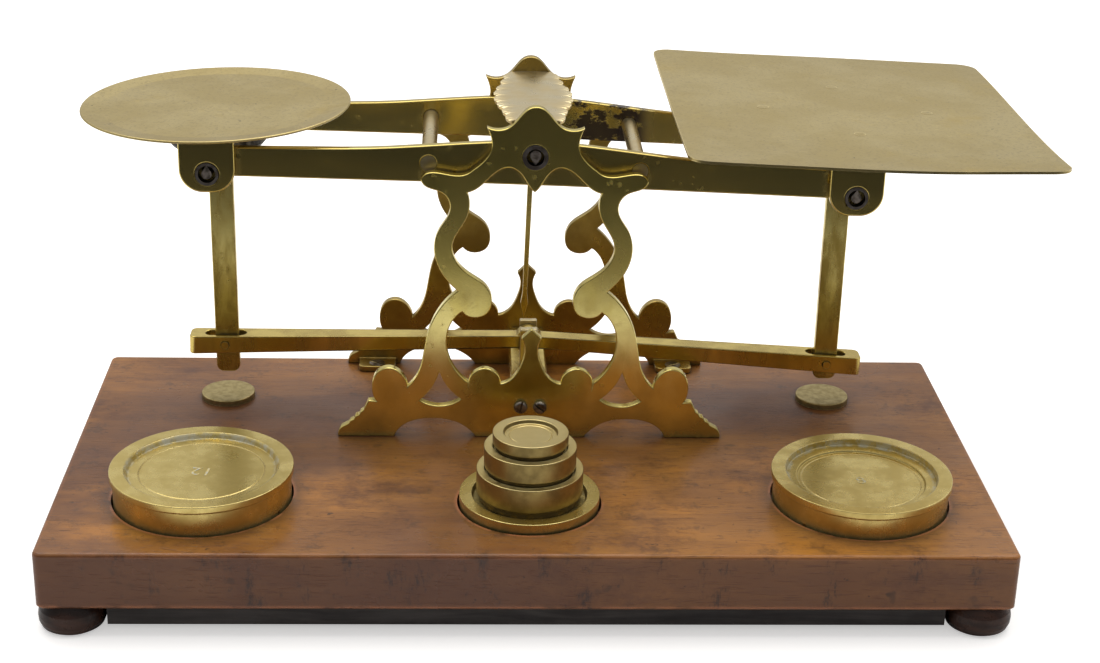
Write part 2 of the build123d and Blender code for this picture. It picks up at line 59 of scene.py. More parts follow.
def put(tree, kind, inputs=(), **settings):
    """Adds a shader node, with its settings, and sets or joins its inputs."""
    made = tree.nodes.new(kind)
    for name, value in settings.items():
        setattr(made, name, value)
    for socket, value in dict(inputs).items():
        if isinstance(value, bpy.types.NodeSocket):
            tree.links.new(value, made.inputs[socket])
        else:
            made.inputs[socket].default_value = value
    return made


def worked(tree, operation, *values):
    """One step of arithmetic on values or sockets."""
    return put(tree, "ShaderNodeMath", enumerate(values), operation=operation).outputs["Value"]


def times(tree, first, second):
    """The product of two values."""
    return worked(tree, "MULTIPLY", first, second)


def plus(tree, first, second):
    """The sum of two values."""
    return worked(tree, "ADD", first, second)


def stepped(tree, value, low, high, start=0.0, end=1.0):
    """Turns the part of a value between low and high into a soft step from start to end."""
    made = put(tree, "ShaderNodeMapRange", {"Value": value, "From Min": low, "From Max": high,
                                            "To Min": start, "To Max": end}, interpolation_type="SMOOTHSTEP")
    return made.outputs["Result"]


mix_amount, mix_first, mix_second, mix_result = 0, 6, 7, 2


def mixed(tree, amount, first, second):
    """The second colour laid over the first by an amount from 0 to 1."""
    inputs = {mix_amount: amount, mix_first: first, mix_second: second}
    return put(tree, "ShaderNodeMix", inputs, data_type="RGBA").outputs[mix_result]


def clouded(tree, place, scale, detail=4.0, roughness=0.55, stretch=(1, 1, 1)):
    """Cloudy variation with features of 1/scale metres, drawn out by stretch."""
    drawn = put(tree, "ShaderNodeMapping", {"Vector": place, "Scale": stretch})
    made = put(tree, "ShaderNodeTexNoise", {
        "Vector": drawn.outputs["Vector"],
        "Scale": scale,
        "Detail": detail,
        "Roughness": roughness,
    })
    return made.outputs["Fac"]


def effect(name, inputs, outputs):
    """A shader group for one effect, with its named inputs and outputs."""
    tree = bpy.data.node_groups.new(name, "ShaderNodeTree")
    for socket, kind, value in inputs:
        tree.interface.new_socket(socket, in_out="INPUT", socket_type=kind)
        if value is not None:
            tree.interface.items_tree[socket].default_value = value
    for socket, kind in outputs:
        tree.interface.new_socket(socket, in_out="OUTPUT", socket_type=kind)
    return tree, tree.nodes.new("NodeGroupInput"), tree.nodes.new("NodeGroupOutput")


def placed(tree, group, inputs=()):
    """An effect's group placed in a material."""
    made = tree.nodes.new("ShaderNodeGroup")
    made.node_tree = group
    for socket, value in dict(inputs).items():
        if isinstance(value, bpy.types.NodeSocket):
            tree.links.new(value, made.inputs[socket])
        else:
            made.inputs[socket].default_value = value
    return made


def new_finish(name, **settings):
    """A material with one shader, and the place on the object that its effects are laid out by."""
    material = bpy.data.materials.new(name)
    material.use_nodes = True
    tree = material.node_tree
    shader = tree.nodes["Principled BSDF"]
    for socket, value in settings.items():
        shader.inputs[socket.replace("_", " ")].default_value = value
    place = put(tree, "ShaderNodeTexCoord").outputs["Object"]
    return material, tree, shader, place


def joined(tree, shader, **sockets):
    """Joins varying values to the shader's sockets."""
    for socket, value in sockets.items():
        tree.links.new(value, shader.inputs[socket.replace("_", " ")])


def raised(tree, height, distance):
    """The surface direction of a fine relief of that depth in metres."""
    made = put(tree, "ShaderNodeBump", {"Height": height, "Distance": distance, "Strength": 1.0})
    return made.outputs["Normal"]


def rubbed_edges():
    """Marks the corners that hands and polishing cloths reach first."""
    tree, start, end = effect("rubbed edges", [("Reach", "NodeSocketFloat", 0.0006)],
                              [("Mask", "NodeSocketFloat")])
    soft = put(tree, "ShaderNodeBevel", {"Radius": start.outputs["Reach"]}, samples=6)
    straight = put(tree, "ShaderNodeNewGeometry").outputs["Normal"]
    both = {0: soft.outputs["Normal"], 1: straight}
    facing = put(tree, "ShaderNodeVectorMath", both, operation="DOT_PRODUCT").outputs["Value"]
    turn = worked(tree, "SUBTRACT", 1.0, facing)
    tree.links.new(stepped(tree, turn, 0.004, 0.09), end.inputs["Mask"])
    return tree


def corner_grime_and_shade():
    """Marks the hidden inside corners, for dirt there and for painted shade."""
    tree, start, end = effect("corner grime", [("Reach", "NodeSocketFloat", 0.004)],
                              [("Mask", "NodeSocketFloat")])
    open_sky = put(tree, "ShaderNodeAmbientOcclusion", {"Distance": start.outputs["Reach"]}, samples=6)
    tree.links.new(stepped(tree, open_sky.outputs["AO"], 0.95, 0.35), end.inputs["Mask"])
    return tree


def fine_scratches():
    """Hair-thin scratches in three directions."""
    tree, start, end = effect("fine scratches", [("Vector", "NodeSocketVector", None),
                                                 ("Scale", "NodeSocketFloat", 260.0)],
                              [("Mask", "NodeSocketFloat")])
    total = None
    for turn, stretch in ((0.4, 34), (1.7, 26), (2.6, 40)):
        laid = put(tree, "ShaderNodeMapping", {
            "Vector": start.outputs["Vector"],
            "Rotation": (0.2, 0.1, turn),
            "Scale": (1, stretch, 1),
        })
        line = put(tree, "ShaderNodeTexNoise", {
            "Vector": laid.outputs["Vector"],
            "Scale": start.outputs["Scale"],
            "Detail": 2.0,
        })
        ridge = stepped(tree, line.outputs["Fac"], 0.66, 0.74)
        total = ridge if total is None else worked(tree, "MAXIMUM", total, ridge)
    where = put(tree, "ShaderNodeTexNoise", {"Vector": start.outputs["Vector"], "Scale": 45.0})
    tree.links.new(times(tree, total, stepped(tree, where.outputs["Fac"], 0.4, 0.7)),
                   end.inputs["Mask"])
    return tree


def wood_grain():
    """Long figure, short dark pores and broad patches of a straight-grained board."""
    tree, start, end = effect("wood grain", [("Vector", "NodeSocketVector", None)],
                              [(mask, "NodeSocketFloat") for mask in ("Figure", "Pores", "Patches")])
    place = start.outputs["Vector"]
    sway = times(tree, worked(tree, "SUBTRACT", clouded(tree, place, 9.0, 2.0), 0.5), 0.016)
    aside = put(tree, "ShaderNodeCombineXYZ", {"Y": sway, "Z": sway}).outputs["Vector"]
    bent = put(tree, "ShaderNodeVectorMath", {0: place, 1: aside}, operation="ADD").outputs["Vector"]
    tree.links.new(clouded(tree, bent, 9.0, 7.0, 0.62, (1, 17, 17)), end.inputs["Figure"])
    pores = clouded(tree, bent, 130.0, 2.0, 0.5, (1, 17, 17))
    tree.links.new(stepped(tree, pores, 0.58, 0.7), end.inputs["Pores"])
    tree.links.new(clouded(tree, place, 13.0, 3.0, 0.5, (0.6, 1, 1)), end.inputs["Patches"])
    return tree


edges_effect = rubbed_edges()
grime_and_shade_effect = corner_grime_and_shade()
scratch_effect = fine_scratches()
grain_effect = wood_grain()


def facing_up(tree):
    """How far the surface faces up, from -1 to 1."""
    normal = put(tree, "ShaderNodeNewGeometry").outputs["Normal"]
    return put(tree, "ShaderNodeSeparateXYZ", {0: normal}).outputs["Z"]


def polished_mahogany():
    """Figured red-brown wood, with painted shade darkening its sides, more dented there, and worn pale
    corners.
    """
    material, tree, shader, place = new_finish("polished mahogany", Specular_IOR_Level=0.4, Coat_Weight=0.12,
                                               Coat_Roughness=0.16)
    grain = placed(tree, grain_effect, {"Vector": place})
    figure = stepped(tree, grain.outputs["Figure"], 0.36, 0.64)
    broad = stepped(tree, clouded(tree, place, 15.0, 5.0, 0.6, (0.7, 1, 1)), 0.36, 0.64)
    both = plus(tree, times(tree, figure, 0.5), times(tree, broad, 0.5))
    colour = mixed(tree, both, mahogany_mid, mahogany_light)
    patches = grain.outputs["Patches"]
    colour = mixed(tree, stepped(tree, patches, 0.56, 0.36, 0.0, 0.6), colour, mahogany_dark)
    warm = clouded(tree, place, 22.0, 4.0, 0.6, (0.5, 1, 1))
    colour = mixed(tree, stepped(tree, warm, 0.52, 0.7, 0.0, 0.7), colour, mahogany_warm)
    smoky = clouded(tree, place, 34.0, 8.0, 0.75, (0.7, 1, 1))
    colour = mixed(tree, stepped(tree, smoky, 0.48, 0.7, 0.0, 0.75), colour, mahogany_dark)
    colour = mixed(tree, times(tree, grain.outputs["Pores"], 0.55), colour, mahogany_dark)
    up = facing_up(tree)
    # Faces that turn away from the sky are darkened: painted shade on the board's sides.
    painted_side_shade = stepped(tree, up, 0.75, 0.2, 0.0, 0.7)
    colour = mixed(tree, painted_side_shade, colour, mahogany_dark)
    dents = stepped(tree, clouded(tree, place, 110.0, 8.0, 0.8, (1, 1, 0.4)), 0.535, 0.66)
    dent_depth = stepped(tree, up, 0.75, 0.2, 0.4, 0.75)
    colour = mixed(tree, times(tree, dents, dent_depth), colour, stain_and_shade)
    spots = stepped(tree, clouded(tree, place, 260.0, 3.0, 0.6), 0.68, 0.75)
    colour = mixed(tree, times(tree, spots, 0.7), colour, stain_and_shade)
    marks = placed(tree, scratch_effect, {"Vector": place, "Scale": 120.0})
    colour = mixed(tree, times(tree, marks.outputs["Mask"], 0.8), colour, stain_and_shade)
    # Darkens the board near the brass and weights that stand on it: painted shade.
    shade_where_brass_stands = placed(tree, grime_and_shade_effect, {"Reach": 0.009})
    colour = mixed(tree, times(tree, shade_where_brass_stands.outputs["Mask"], 0.7), colour, stain_and_shade)
    rubbed = placed(tree, edges_effect, {"Reach": 0.0022})
    broken = stepped(tree, clouded(tree, place, 90.0, 5.0), 0.36, 0.52)
    bare = times(tree, rubbed.outputs["Mask"], broken)
    colour = mixed(tree, times(tree, bare, 0.85), colour, mahogany_worn)
    dull = plus(tree, stepped(tree, clouded(tree, place, 24.0, 5.0), 0.35, 0.7, 0.26, 0.46),
                times(tree, marks.outputs["Mask"], 0.12))
    relief = plus(tree, times(tree, grain.outputs["Pores"], -0.6),
                  times(tree, marks.outputs["Mask"], -1.0))
    joined(tree, shader, Base_Color=colour, Roughness=dull, Normal=raised(tree, relief, 0.00006))
    return material


def dress(material, *nodes):
    """Gives CAD pieces their finish."""
    for node in nodes:
        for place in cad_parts[node].material_slots:
            place.material = material


dress(polished_mahogany(), "base_board")

# ---- Feet and the panel under the board -------------------------------------------------------
# Four turned bun feet of dark-stained wood with a hard shine, and a near-black panel under the board
# between the feet. The feet are glued and screwed from below.

foot_brown = (0.016, 0.008, 0.006, 1.0)
foot_rubbed = (0.07, 0.03, 0.018, 1.0)
panel_black = (0.03, 0.026, 0.025, 1.0)
panel_dusty = (0.085, 0.075, 0.07, 1.0)


def dark_wood(name, deep, shown, dull, worn):
    """Wood stained nearly black, with a little of its grain showing."""
    material, tree, shader, place = new_finish(name, Specular_IOR_Level=0.3)
    grain = placed(tree, grain_effect, {"Vector": place})
    colour = mixed(tree, stepped(tree, grain.outputs["Figure"], 0.4, 0.75), deep, shown)
    rubbed = placed(tree, edges_effect, {"Reach": 0.0012})
    colour = mixed(tree, times(tree, rubbed.outputs["Mask"], worn), colour, shown)
    patchy = stepped(tree, clouded(tree, place, 130.0, 4.0), 0.3, 0.7, dull, dull + 0.2)
    joined(tree, shader, Base_Color=colour, Roughness=patchy,
           Normal=raised(tree, grain.outputs["Figure"], 0.00004))
    return material


dress(dark_wood("stained foot", foot_brown, foot_rubbed, 0.2, 0.5),
      "foot_front_left", "foot_front_right", "foot_rear_left", "foot_rear_right")
dress(dark_wood("near-black panel", panel_black, panel_dusty, 0.6, 0.3), "plinth_panel")

# ---- Frames -----------------------------------------------------------------------------------
# Two pierced brass castings, filed flat on the faces and left a little rough in the scrolls, with
# a low step round the middle prong. Screws through tabs hold them to the board.

casting_gold = (0.86, 0.7, 0.2, 1.0)
casting_deep = (0.6, 0.48, 0.14, 1.0)
edge_gold = (0.95, 0.8, 0.42, 1.0)
# Brown for spots and dirt, and for painted shade in inside corners.
grime_and_shade_brown = (0.06, 0.042, 0.02, 1.0)


def old_brass(name, gold, deep, dull, patch=45.0, streak=(1, 1, 1), rub=0.8, grime_and_shade=0.75,
              relief=0.00001):
    """Brass that has darkened in patches, is bright on its corners and darker in its crevices, with dirt and
    painted shade there.
    """
    material, tree, shader, place = new_finish(name)
    blotches = clouded(tree, place, patch, 5.0, 0.6, streak)
    specks = clouded(tree, place, 1100.0, 3.0, 0.6)
    colour = mixed(tree, stepped(tree, blotches, 0.64, 0.36), gold, deep)
    colour = mixed(tree, stepped(tree, specks, 0.6, 0.75, 0.0, 0.35), colour, deep)
    rubbed = placed(tree, edges_effect, {"Reach": 0.0005}).outputs["Mask"]
    colour = mixed(tree, times(tree, rubbed, rub), colour, edge_gold)
    # Inside corners take dirt and painted shade, which also dull the metal there.
    corners = placed(tree, grime_and_shade_effect, {"Reach": 0.003}).outputs["Mask"]
    broken = stepped(tree, clouded(tree, place, 350.0, 4.0), 0.3, 0.55)
    grime_and_shade_mask = times(tree, times(tree, corners, broken), grime_and_shade)
    colour = mixed(tree, grime_and_shade_mask, colour, grime_and_shade_brown)
    marks = placed(tree, scratch_effect, {"Vector": place}).outputs["Mask"]
    patchy = stepped(tree, blotches, 0.3, 0.7, dull + 0.07, dull - 0.04)
    patchy = plus(tree, patchy, times(tree, grime_and_shade_mask, 0.35))
    patchy = plus(tree, patchy, times(tree, marks, 0.1))
    height = plus(tree, times(tree, marks, -0.5), times(tree, specks, 0.6))
    joined(tree, shader, Base_Color=colour, Roughness=patchy, Normal=raised(tree, height, relief),
           Metallic=worked(tree, "SUBTRACT", 1.0, times(tree, grime_and_shade_mask, 0.7)))
    return material


def laid_over(material, colour, mask_from, crusty=False):
    """Lays a colour over a material where a mask, made from the place on the object, is high."""
    tree = material.node_tree
    shader = tree.nodes["Principled BSDF"]
    below = shader.inputs["Base Color"].links[0].from_socket
    place = put(tree, "ShaderNodeTexCoord").outputs["Object"]
    mask = mask_from(tree, place)
    joined(tree, shader, Base_Color=mixed(tree, mask, below, colour))
    if crusty:
        metal = shader.inputs["Metallic"].links[0].from_socket
        bare = worked(tree, "SUBTRACT", 1.0, mask)
        joined(tree, shader, Metallic=times(tree, metal, bare))


def span(tree, place, axis, low, high, soft):
    """One between two coordinates on an axis and none beyond them."""
    along = put(tree, "ShaderNodeSeparateXYZ", {0: place}).outputs[axis]
    return times(tree, stepped(tree, along, low - soft, low + soft),
                 stepped(tree, along, high + soft, high - soft))


weld_within, flat_within = 0.000002, radians(0.6)


def eased(node, name, body, slot_name, material, width, sharp_from=32):
    """The CAD piece with its sharp corners rubbed round, as a piece of its own."""
    work = bmesh.new()
    work.from_mesh(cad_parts[node].data)
    bmesh.ops.remove_doubles(work, verts=work.verts, dist=weld_within)
    bmesh.ops.dissolve_limit(work, angle_limit=flat_within, verts=work.verts, edges=work.edges)
    corners = [edge for edge in work.edges
               if edge.is_manifold and edge.calc_face_angle() > radians(sharp_from)]
    bmesh.ops.bevel(work, geom=corners, offset=width, offset_type="OFFSET", segments=3, profile=0.5,
                    affect="EDGES", clamp_overlap=False)
    mesh = bpy.data.meshes.new(name)
    work.to_mesh(mesh)
    work.free()
    kept_normals = mesh.attributes.get("custom_normal")
    if kept_normals:
        mesh.attributes.remove(kept_normals)
    return fitted(mesh, name, body, slot_name, material, node)


def fitted(mesh, name, body, slot_name, material, *nodes, at=None, sharp_from=42):
    """Makes a piece of a mesh, smooth where it is round and flat where it is flat, on its body."""
    for face in mesh.polygons:
        face.use_smooth = True
    mesh.set_sharp_from_angle(angle=radians(sharp_from))
    mesh.materials.clear()
    mesh.materials.append(material)
    piece = bpy.data.objects.new(name, mesh)
    bpy.context.scene.collection.objects.link(piece)
    if at:
        piece.matrix_world = at
    even = piece.modifiers.new("flat faces", "WEIGHTED_NORMAL")
    even.keep_sharp = True
    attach(piece, body)
    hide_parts(*nodes)
    return piece


cast_brass = old_brass("old cast brass", casting_gold, casting_deep, 0.22)
leg_highlight_gold = (1.0, 0.87, 0.34, 1.0)
leg_low, leg_high, leg_fade = 0.044, 0.082, 0.012


def painted_leg_highlight(tree, place):
    """A painted highlight on the legs of the casting, in upright streaks."""
    streaks = stepped(tree, clouded(tree, place, 120.0, 4.0, 0.6, (1, 1, 0.4)), 0.35, 0.6, 0.2, 0.9)
    return times(tree, span(tree, place, "Z", leg_low, leg_high, leg_fade), streaks)


# Paints a highlight on the legs of the front casting.
laid_over(cast_brass, leg_highlight_gold, painted_leg_highlight)
# The rear casting gets a darker copy of the cast brass: painted shade.
shaded_gold, shaded_deep = (0.56, 0.41, 0.12, 1.0), (0.38, 0.27, 0.08, 1.0)
shaded_brass = old_brass("shaded cast brass", shaded_gold, shaded_deep, 0.28)
casting_ease = 0.0004
eased("front_frame", "front_frame_casting", "base", "frame_brass", cast_brass, casting_ease)
eased("rear_frame", "rear_frame_casting", "base", "frame_brass", shaded_brass, casting_ease)

# ---- Head plate, bridge, fork and discs -------------------------------------------------------
# A scalloped plate ties the heads of the frames together, and a bar joins them low down and
# carries the fork of the stay. Two small discs on the board stop the stems.

bar_gold = (0.82, 0.63, 0.18, 1.0)
bar_deep = (0.6, 0.45, 0.13, 1.0)
pale_gold = (0.72, 0.61, 0.37, 1.0)
pale_deep = (0.62, 0.5, 0.27, 1.0)

bar_brass = old_brass("old bar brass", bar_gold, bar_deep, 0.22, patch=110.0, streak=(1, 1, 0.22))
pale_brass = old_brass("pale rubbed brass", pale_gold, pale_deep, 0.3, patch=120.0, rub=0.15, grime_and_shade=0.6)

head_low, head_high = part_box("top_plate")
head_middle = (head_low + head_high) / 2
head_half = head_high.y - head_middle.y
head_cusps = ((0.0125, 0.0), (0.0122, 0.0074), (0.0102, 0.0146), (0.0094, 0.0218), (0.0080, head_half))
scallop_bulge = 0.0011
flute_pitch, flute_depth, head_crown = 0.0018, 0.00022, 0.0003
head_thickness, rib_half, rib_drop = 0.0016, 0.004, 0.0018
flutes_from, rounded_from, edge_drop, underside_share = 0.62, 0.9, 0.0003, 0.985


def head_half_width(y):
    """Half the plate's width at a distance from its middle, bulging between cusps."""
    away = abs(y)
    for (wide, start), (narrow, end) in zip(head_cusps, head_cusps[1:]):
        if away <= end + 1e-9:
            share = (away - start) / (end - start)
            return wide + (narrow - wide) * share + 4 * scallop_bulge * share * (1 - share)
    return head_cusps[-1][0]


def scalloped_head(rows=240, columns=28):
    """The fluted top face, the flat underside with its rib, and the walls between them."""
    work = bmesh.new()
    tops, bottoms = [], []
    for row in range(rows + 1):
        y = -head_half + 2 * head_half * row / rows
        half = head_half_width(y)
        top_row, bottom_row = [], []
        for column in range(columns + 1):
            u = 2 * column / columns - 1
            near_edge = max(0.0, abs(u) - flutes_from) / (1 - flutes_from)
            flute = flute_depth * near_edge * (0.5 + 0.5 * cos(tau * y / flute_pitch))
            rounded = edge_drop * max(0.0, abs(u) - rounded_from) / (1 - rounded_from)
            z = head_high.z - head_crown * u * u - flute - rounded
            x = u * half
            top_row.append(work.verts.new((head_middle.x + x, head_middle.y + y, z)))
            under = head_high.z - head_thickness - (rib_drop if abs(x) < rib_half else 0)
            under_x = head_middle.x + x * underside_share
            bottom_row.append(work.verts.new((under_x, head_middle.y + y, under)))
        tops.append(top_row)
        bottoms.append(bottom_row)
    for row in range(rows):
        for column in range(columns):
            work.faces.new([tops[row][column], tops[row][column + 1], tops[row + 1][column + 1],
                            tops[row + 1][column]])
            work.faces.new([bottoms[row][column], bottoms[row + 1][column], bottoms[row + 1][column + 1],
                            bottoms[row][column + 1]])
        for column in (0, columns):
            work.faces.new([tops[row][column], tops[row + 1][column], bottoms[row + 1][column],
                            bottoms[row][column]])
    for row in (0, rows):
        for column in range(columns):
            work.faces.new([tops[row][column], tops[row][column + 1], bottoms[row][column + 1],
                            bottoms[row][column]])
    bmesh.ops.recalc_face_normals(work, faces=work.faces)
    mesh = bpy.data.meshes.new("head_plate")
    work.to_mesh(mesh)
    work.free()
    return mesh


fitted(scalloped_head(), "head_plate", "base", "sheet_brass", pale_brass, "top_plate")
small_ease = 0.0003
eased("bridge_bar", "bridge", "base", "bar_brass", bar_brass, small_ease)
eased("stay_fork", "fork", "base", "bar_brass", pale_brass, small_ease)
disc_gold, disc_deep = (0.44, 0.35, 0.16, 1.0), (0.33, 0.26, 0.11, 1.0)
disc_brass = old_brass("worn disc brass", disc_gold, disc_deep, 0.42, patch=420.0)
dress(disc_brass, "stop_disc_left", "stop_disc_right")

# ---- Knife edges, bushes, pins and screws -----------------------------------------------------
# Hardened steel, blued and since rubbed grey. The knife bars are ground to an edge, the bushes
# are pressed into the frames and the lugs, and the screws have filed slots.

steel_grey = (0.42, 0.37, 0.33, 1.0)
steel_dark = (0.15, 0.125, 0.11, 1.0)
steel_rubbed = (0.5, 0.47, 0.43, 1.0)
steel_grime_and_shade = (0.03, 0.024, 0.02, 1.0)
blued_grey = (0.2, 0.185, 0.175, 1.0)
screw_grey = (0.42, 0.39, 0.35, 1.0)


def old_steel(name, light, dark, dull):
    """Steel in dark and light patches, with dirt and painted shade where it enters the brass."""
    material, tree, shader, place = new_finish(name, Metallic=1.0)
    blotches = clouded(tree, place, 500.0, 4.0)
    colour = mixed(tree, stepped(tree, blotches, 0.35, 0.65), dark, light)
    rubbed = placed(tree, edges_effect, {"Reach": 0.0003}).outputs["Mask"]
    colour = mixed(tree, times(tree, rubbed, 0.35), colour, steel_rubbed)
    # Dirt and painted shade in the corners where the steel enters the brass.
    corners = placed(tree, grime_and_shade_effect, {"Reach": 0.004}).outputs["Mask"]
    colour = mixed(tree, times(tree, corners, 0.5), colour, steel_grime_and_shade)
    patchy = stepped(tree, blotches, 0.3, 0.7, dull, dull + 0.15)
    joined(tree, shader, Base_Color=colour, Roughness=patchy, Normal=raised(tree, blotches, 0.00002))
    return material


knife_steel = old_steel("ground steel", steel_grey, steel_dark, 0.3)
bush_steel = old_steel("blued steel", blued_grey, steel_dark, 0.32)
screw_steel = old_steel("screw steel", screw_grey, steel_dark, 0.34)
dress(knife_steel, "middle_knife", "end_knife_left_front", "end_knife_left_rear", "end_knife_right_front",
      "end_knife_right_rear", "stay_pivot_pin")
dress(bush_steel, "front_frame_bush", "rear_frame_bush", "weight_bush_front", "weight_bush_rear",
      "letter_bush_front", "letter_bush_rear")
dress(screw_steel, *[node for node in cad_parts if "screw" in node])

# ---- Beam -------------------------------------------------------------------------------------
# Two long brass bars on the middle knife, held apart by two round rods. The pointer hangs from a
# collar on the knife.

beam_gold = (0.76, 0.61, 0.2, 1.0)
beam_brass = old_brass("dark beam brass", beam_gold, bar_deep, 0.19, streak=(0.25, 1, 1))
stained_brass = old_brass("stained beam brass", beam_gold, bar_deep, 0.19, streak=(0.25, 1, 1))
beam_stain = (0.03, 0.018, 0.012, 1.0)
stain_left, stain_right, stain_fade = 0.002, 0.036, 0.005


def crusted_stain(tree, place):
    """A broken dark crust beside the middle of the rear bar."""
    crust = stepped(tree, clouded(tree, place, 150.0, 6.0, 0.7, (0.7, 1, 1)), 0.44, 0.5)
    return times(tree, span(tree, place, "X", stain_left, stain_right, stain_fade), crust)


laid_over(stained_brass, beam_stain, crusted_stain, crusty=True)
beam_ease, pointer_ease = 0.0005, 0.00015
eased("beam_front_bar", "front_beam_bar", "beam", "bar_brass", beam_brass, beam_ease)
eased("beam_rear_bar", "rear_beam_bar", "beam", "bar_brass", stained_brass, beam_ease)
dress(pale_brass, "spacer_rod_left", "spacer_rod_right")
eased("pointer", "needle", "beam", "bar_brass", bar_brass, pointer_ease)

# ---- Stay -------------------------------------------------------------------------------------
# A long bar under the beam that keeps both stems upright. It is thinner at the middle, with a slot
# at each end for a stem.

stay_ease = 0.0004
eased("stay", "stay_bar_piece", "stay_bar", "bar_brass", bar_brass, stay_ease)

# ---- Stems and lugs ---------------------------------------------------------------------------
# Each pan sits on a strap with a rounded lug bent down at either end, and a flat stem that hangs
# from the strap to the stay.

stem_gold, stem_deep = (0.74, 0.62, 0.22, 1.0), (0.42, 0.31, 0.08, 1.0)
stem_brass = old_brass("streaked stem brass", stem_gold, stem_deep, 0.24, patch=170.0, streak=(1, 1, 0.3))
strap_ease, hanger_ease = 0.0006, 0.0004
for name in ("weight", "letter"):
    eased(f"{name}_bracket", f"{name}_strap", f"{name}_side", "bar_brass", beam_brass, strap_ease)
    eased(f"{name}_stem", f"{name}_hanger", f"{name}_side", "bar_brass", stem_brass, hanger_ease)
dress(bar_brass, "weight_stem_pin", "letter_stem_pin", "weight_pan_seat")

# ---- Pans -------------------------------------------------------------------------------------
# A round pan and a larger letter plate of thin sheet brass, scoured dull by years of rubbing. The
# pan is spun with a low rim. The plate is a little warped, and four rivets hold it to its spider.

sheet_gold = (0.62, 0.495, 0.215, 1.0)
sheet_deep = (0.48, 0.375, 0.15, 1.0)
sheet_speck = (0.3, 0.22, 0.1, 1.0)
sheet_smudge = (0.36, 0.28, 0.12, 1.0)
sheet = 0.0009


def scoured_brass():
    """Sheet brass rubbed to a fine speckle, with smudges and a fine dented surface."""
    material, tree, shader, place = new_finish("scoured sheet brass", Metallic=1.0)
    cloudy = clouded(tree, place, 26.0, 5.0, 0.6)
    colour = mixed(tree, stepped(tree, cloudy, 0.66, 0.38), sheet_gold, sheet_deep)
    speckle = clouded(tree, place, 900.0, 4.0, 0.7)
    colour = mixed(tree, stepped(tree, speckle, 0.5, 0.68, 0.0, 0.5), colour, sheet_speck)
    smudges = stepped(tree, clouded(tree, place, 38.0, 6.0, 0.7), 0.56, 0.7)
    colour = mixed(tree, times(tree, smudges, 0.55), colour, sheet_smudge)
    spots = stepped(tree, clouded(tree, place, 420.0, 2.0), 0.72, 0.78)
    colour = mixed(tree, times(tree, spots, 0.7), colour, grime_and_shade_brown)
    rubbed = placed(tree, edges_effect, {"Reach": 0.0006}).outputs["Mask"]
    colour = mixed(tree, times(tree, rubbed, 0.7), colour, edge_gold)
    # Dirt and painted shade in the inside corners of the sheet.
    corners = placed(tree, grime_and_shade_effect, {"Reach": 0.0025}).outputs["Mask"]
    colour = mixed(tree, times(tree, corners, 0.35), colour, grime_and_shade_brown)
    marks = placed(tree, scratch_effect, {"Vector": place}).outputs["Mask"]
    dull = plus(tree, stepped(tree, cloudy, 0.3, 0.7, 0.4, 0.3), times(tree, smudges, 0.12))
    dents = stepped(tree, clouded(tree, place, 150.0, 2.0), 0.7, 0.8)
    height = plus(tree, times(tree, speckle, 0.4), times(tree, marks, -1.0))
    height = plus(tree, height, times(tree, dents, -3.0))
    joined(tree, shader, Base_Color=colour, Roughness=dull, Normal=raised(tree, height, 0.00003))
    return material


sheet_brass = scoured_brass()


def rounded_profile(points, ease):
    """A half section with each of its corners rounded by that much."""
    made = [points[0]]
    for before, corner, after in zip(points, points[1:], points[2:]):
        before, corner, after = Vector(before), Vector(corner), Vector(after)
        back, ahead = before - corner, after - corner
        cut = min(ease, back.length * 0.45, ahead.length * 0.45)
        start, end = corner + back.normalized() * cut, corner + ahead.normalized() * cut
        for share in (0.0, 0.25, 0.5, 0.75, 1.0):
            made.append(tuple(start.lerp(corner, share).lerp(corner.lerp(end, share), share)))
    made.append(points[-1])
    return made


def turned(name, profile, ease=0.0003, segments=168):
    """A mesh turned from a half section of radius and height, closed at both ends on the axis."""
    work = bmesh.new()
    outline = rounded_profile(profile, ease)
    around = [(cos(tau * step / segments), sin(tau * step / segments)) for step in range(segments)]
    rings = []
    for radius, height in outline[1:-1]:
        rings.append([work.verts.new((radius * x, radius * y, height)) for x, y in around])
    first, last = work.verts.new((0, 0, outline[0][1])), work.verts.new((0, 0, outline[-1][1]))
    for step in range(segments):
        following = (step + 1) % segments
        work.faces.new([first, rings[0][following], rings[0][step]])
        work.faces.new([last, rings[-1][step], rings[-1][following]])
        for lower, upper in zip(rings, rings[1:]):
            work.faces.new([lower[step], lower[following], upper[following], upper[step]])
    bmesh.ops.recalc_face_normals(work, faces=work.faces)
    mesh = bpy.data.meshes.new(name)
    work.to_mesh(mesh)
    work.free()
    return mesh


pan_low, pan_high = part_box("weight_pan")
pan_middle = (pan_low + pan_high) / 2
pan_rim_height, pan_lean = 0.138, radians(-1.3)
pan_radius = (pan_high.x - pan_low.x) / 2
pan_underside, pan_floor = -0.0020, -0.0007
rim_section = ((0.0068, 0.0020), (0.0004, sheet), (0, 0.0006),
               (0.0003, 0), (0.0012, 0.0001), (0.0072, 0.0008))
pan_rim = [(pan_radius - inset, -drop) for inset, drop in rim_section]
pan_profile = [(0, pan_underside), *pan_rim, (0, pan_floor)]


def set_down(x, y, z, turn=0.0, axis="Z"):
    """A place, turned about one axis."""
    return Matrix.Translation((x, y, z)) @ Matrix.Rotation(turn, 4, axis)


fitted(turned("round_pan", pan_profile), "round_pan", "weight_side", "sheet_brass", sheet_brass,
       "weight_pan", at=set_down(pan_middle.x, pan_middle.y, pan_rim_height, pan_lean, "Y"))

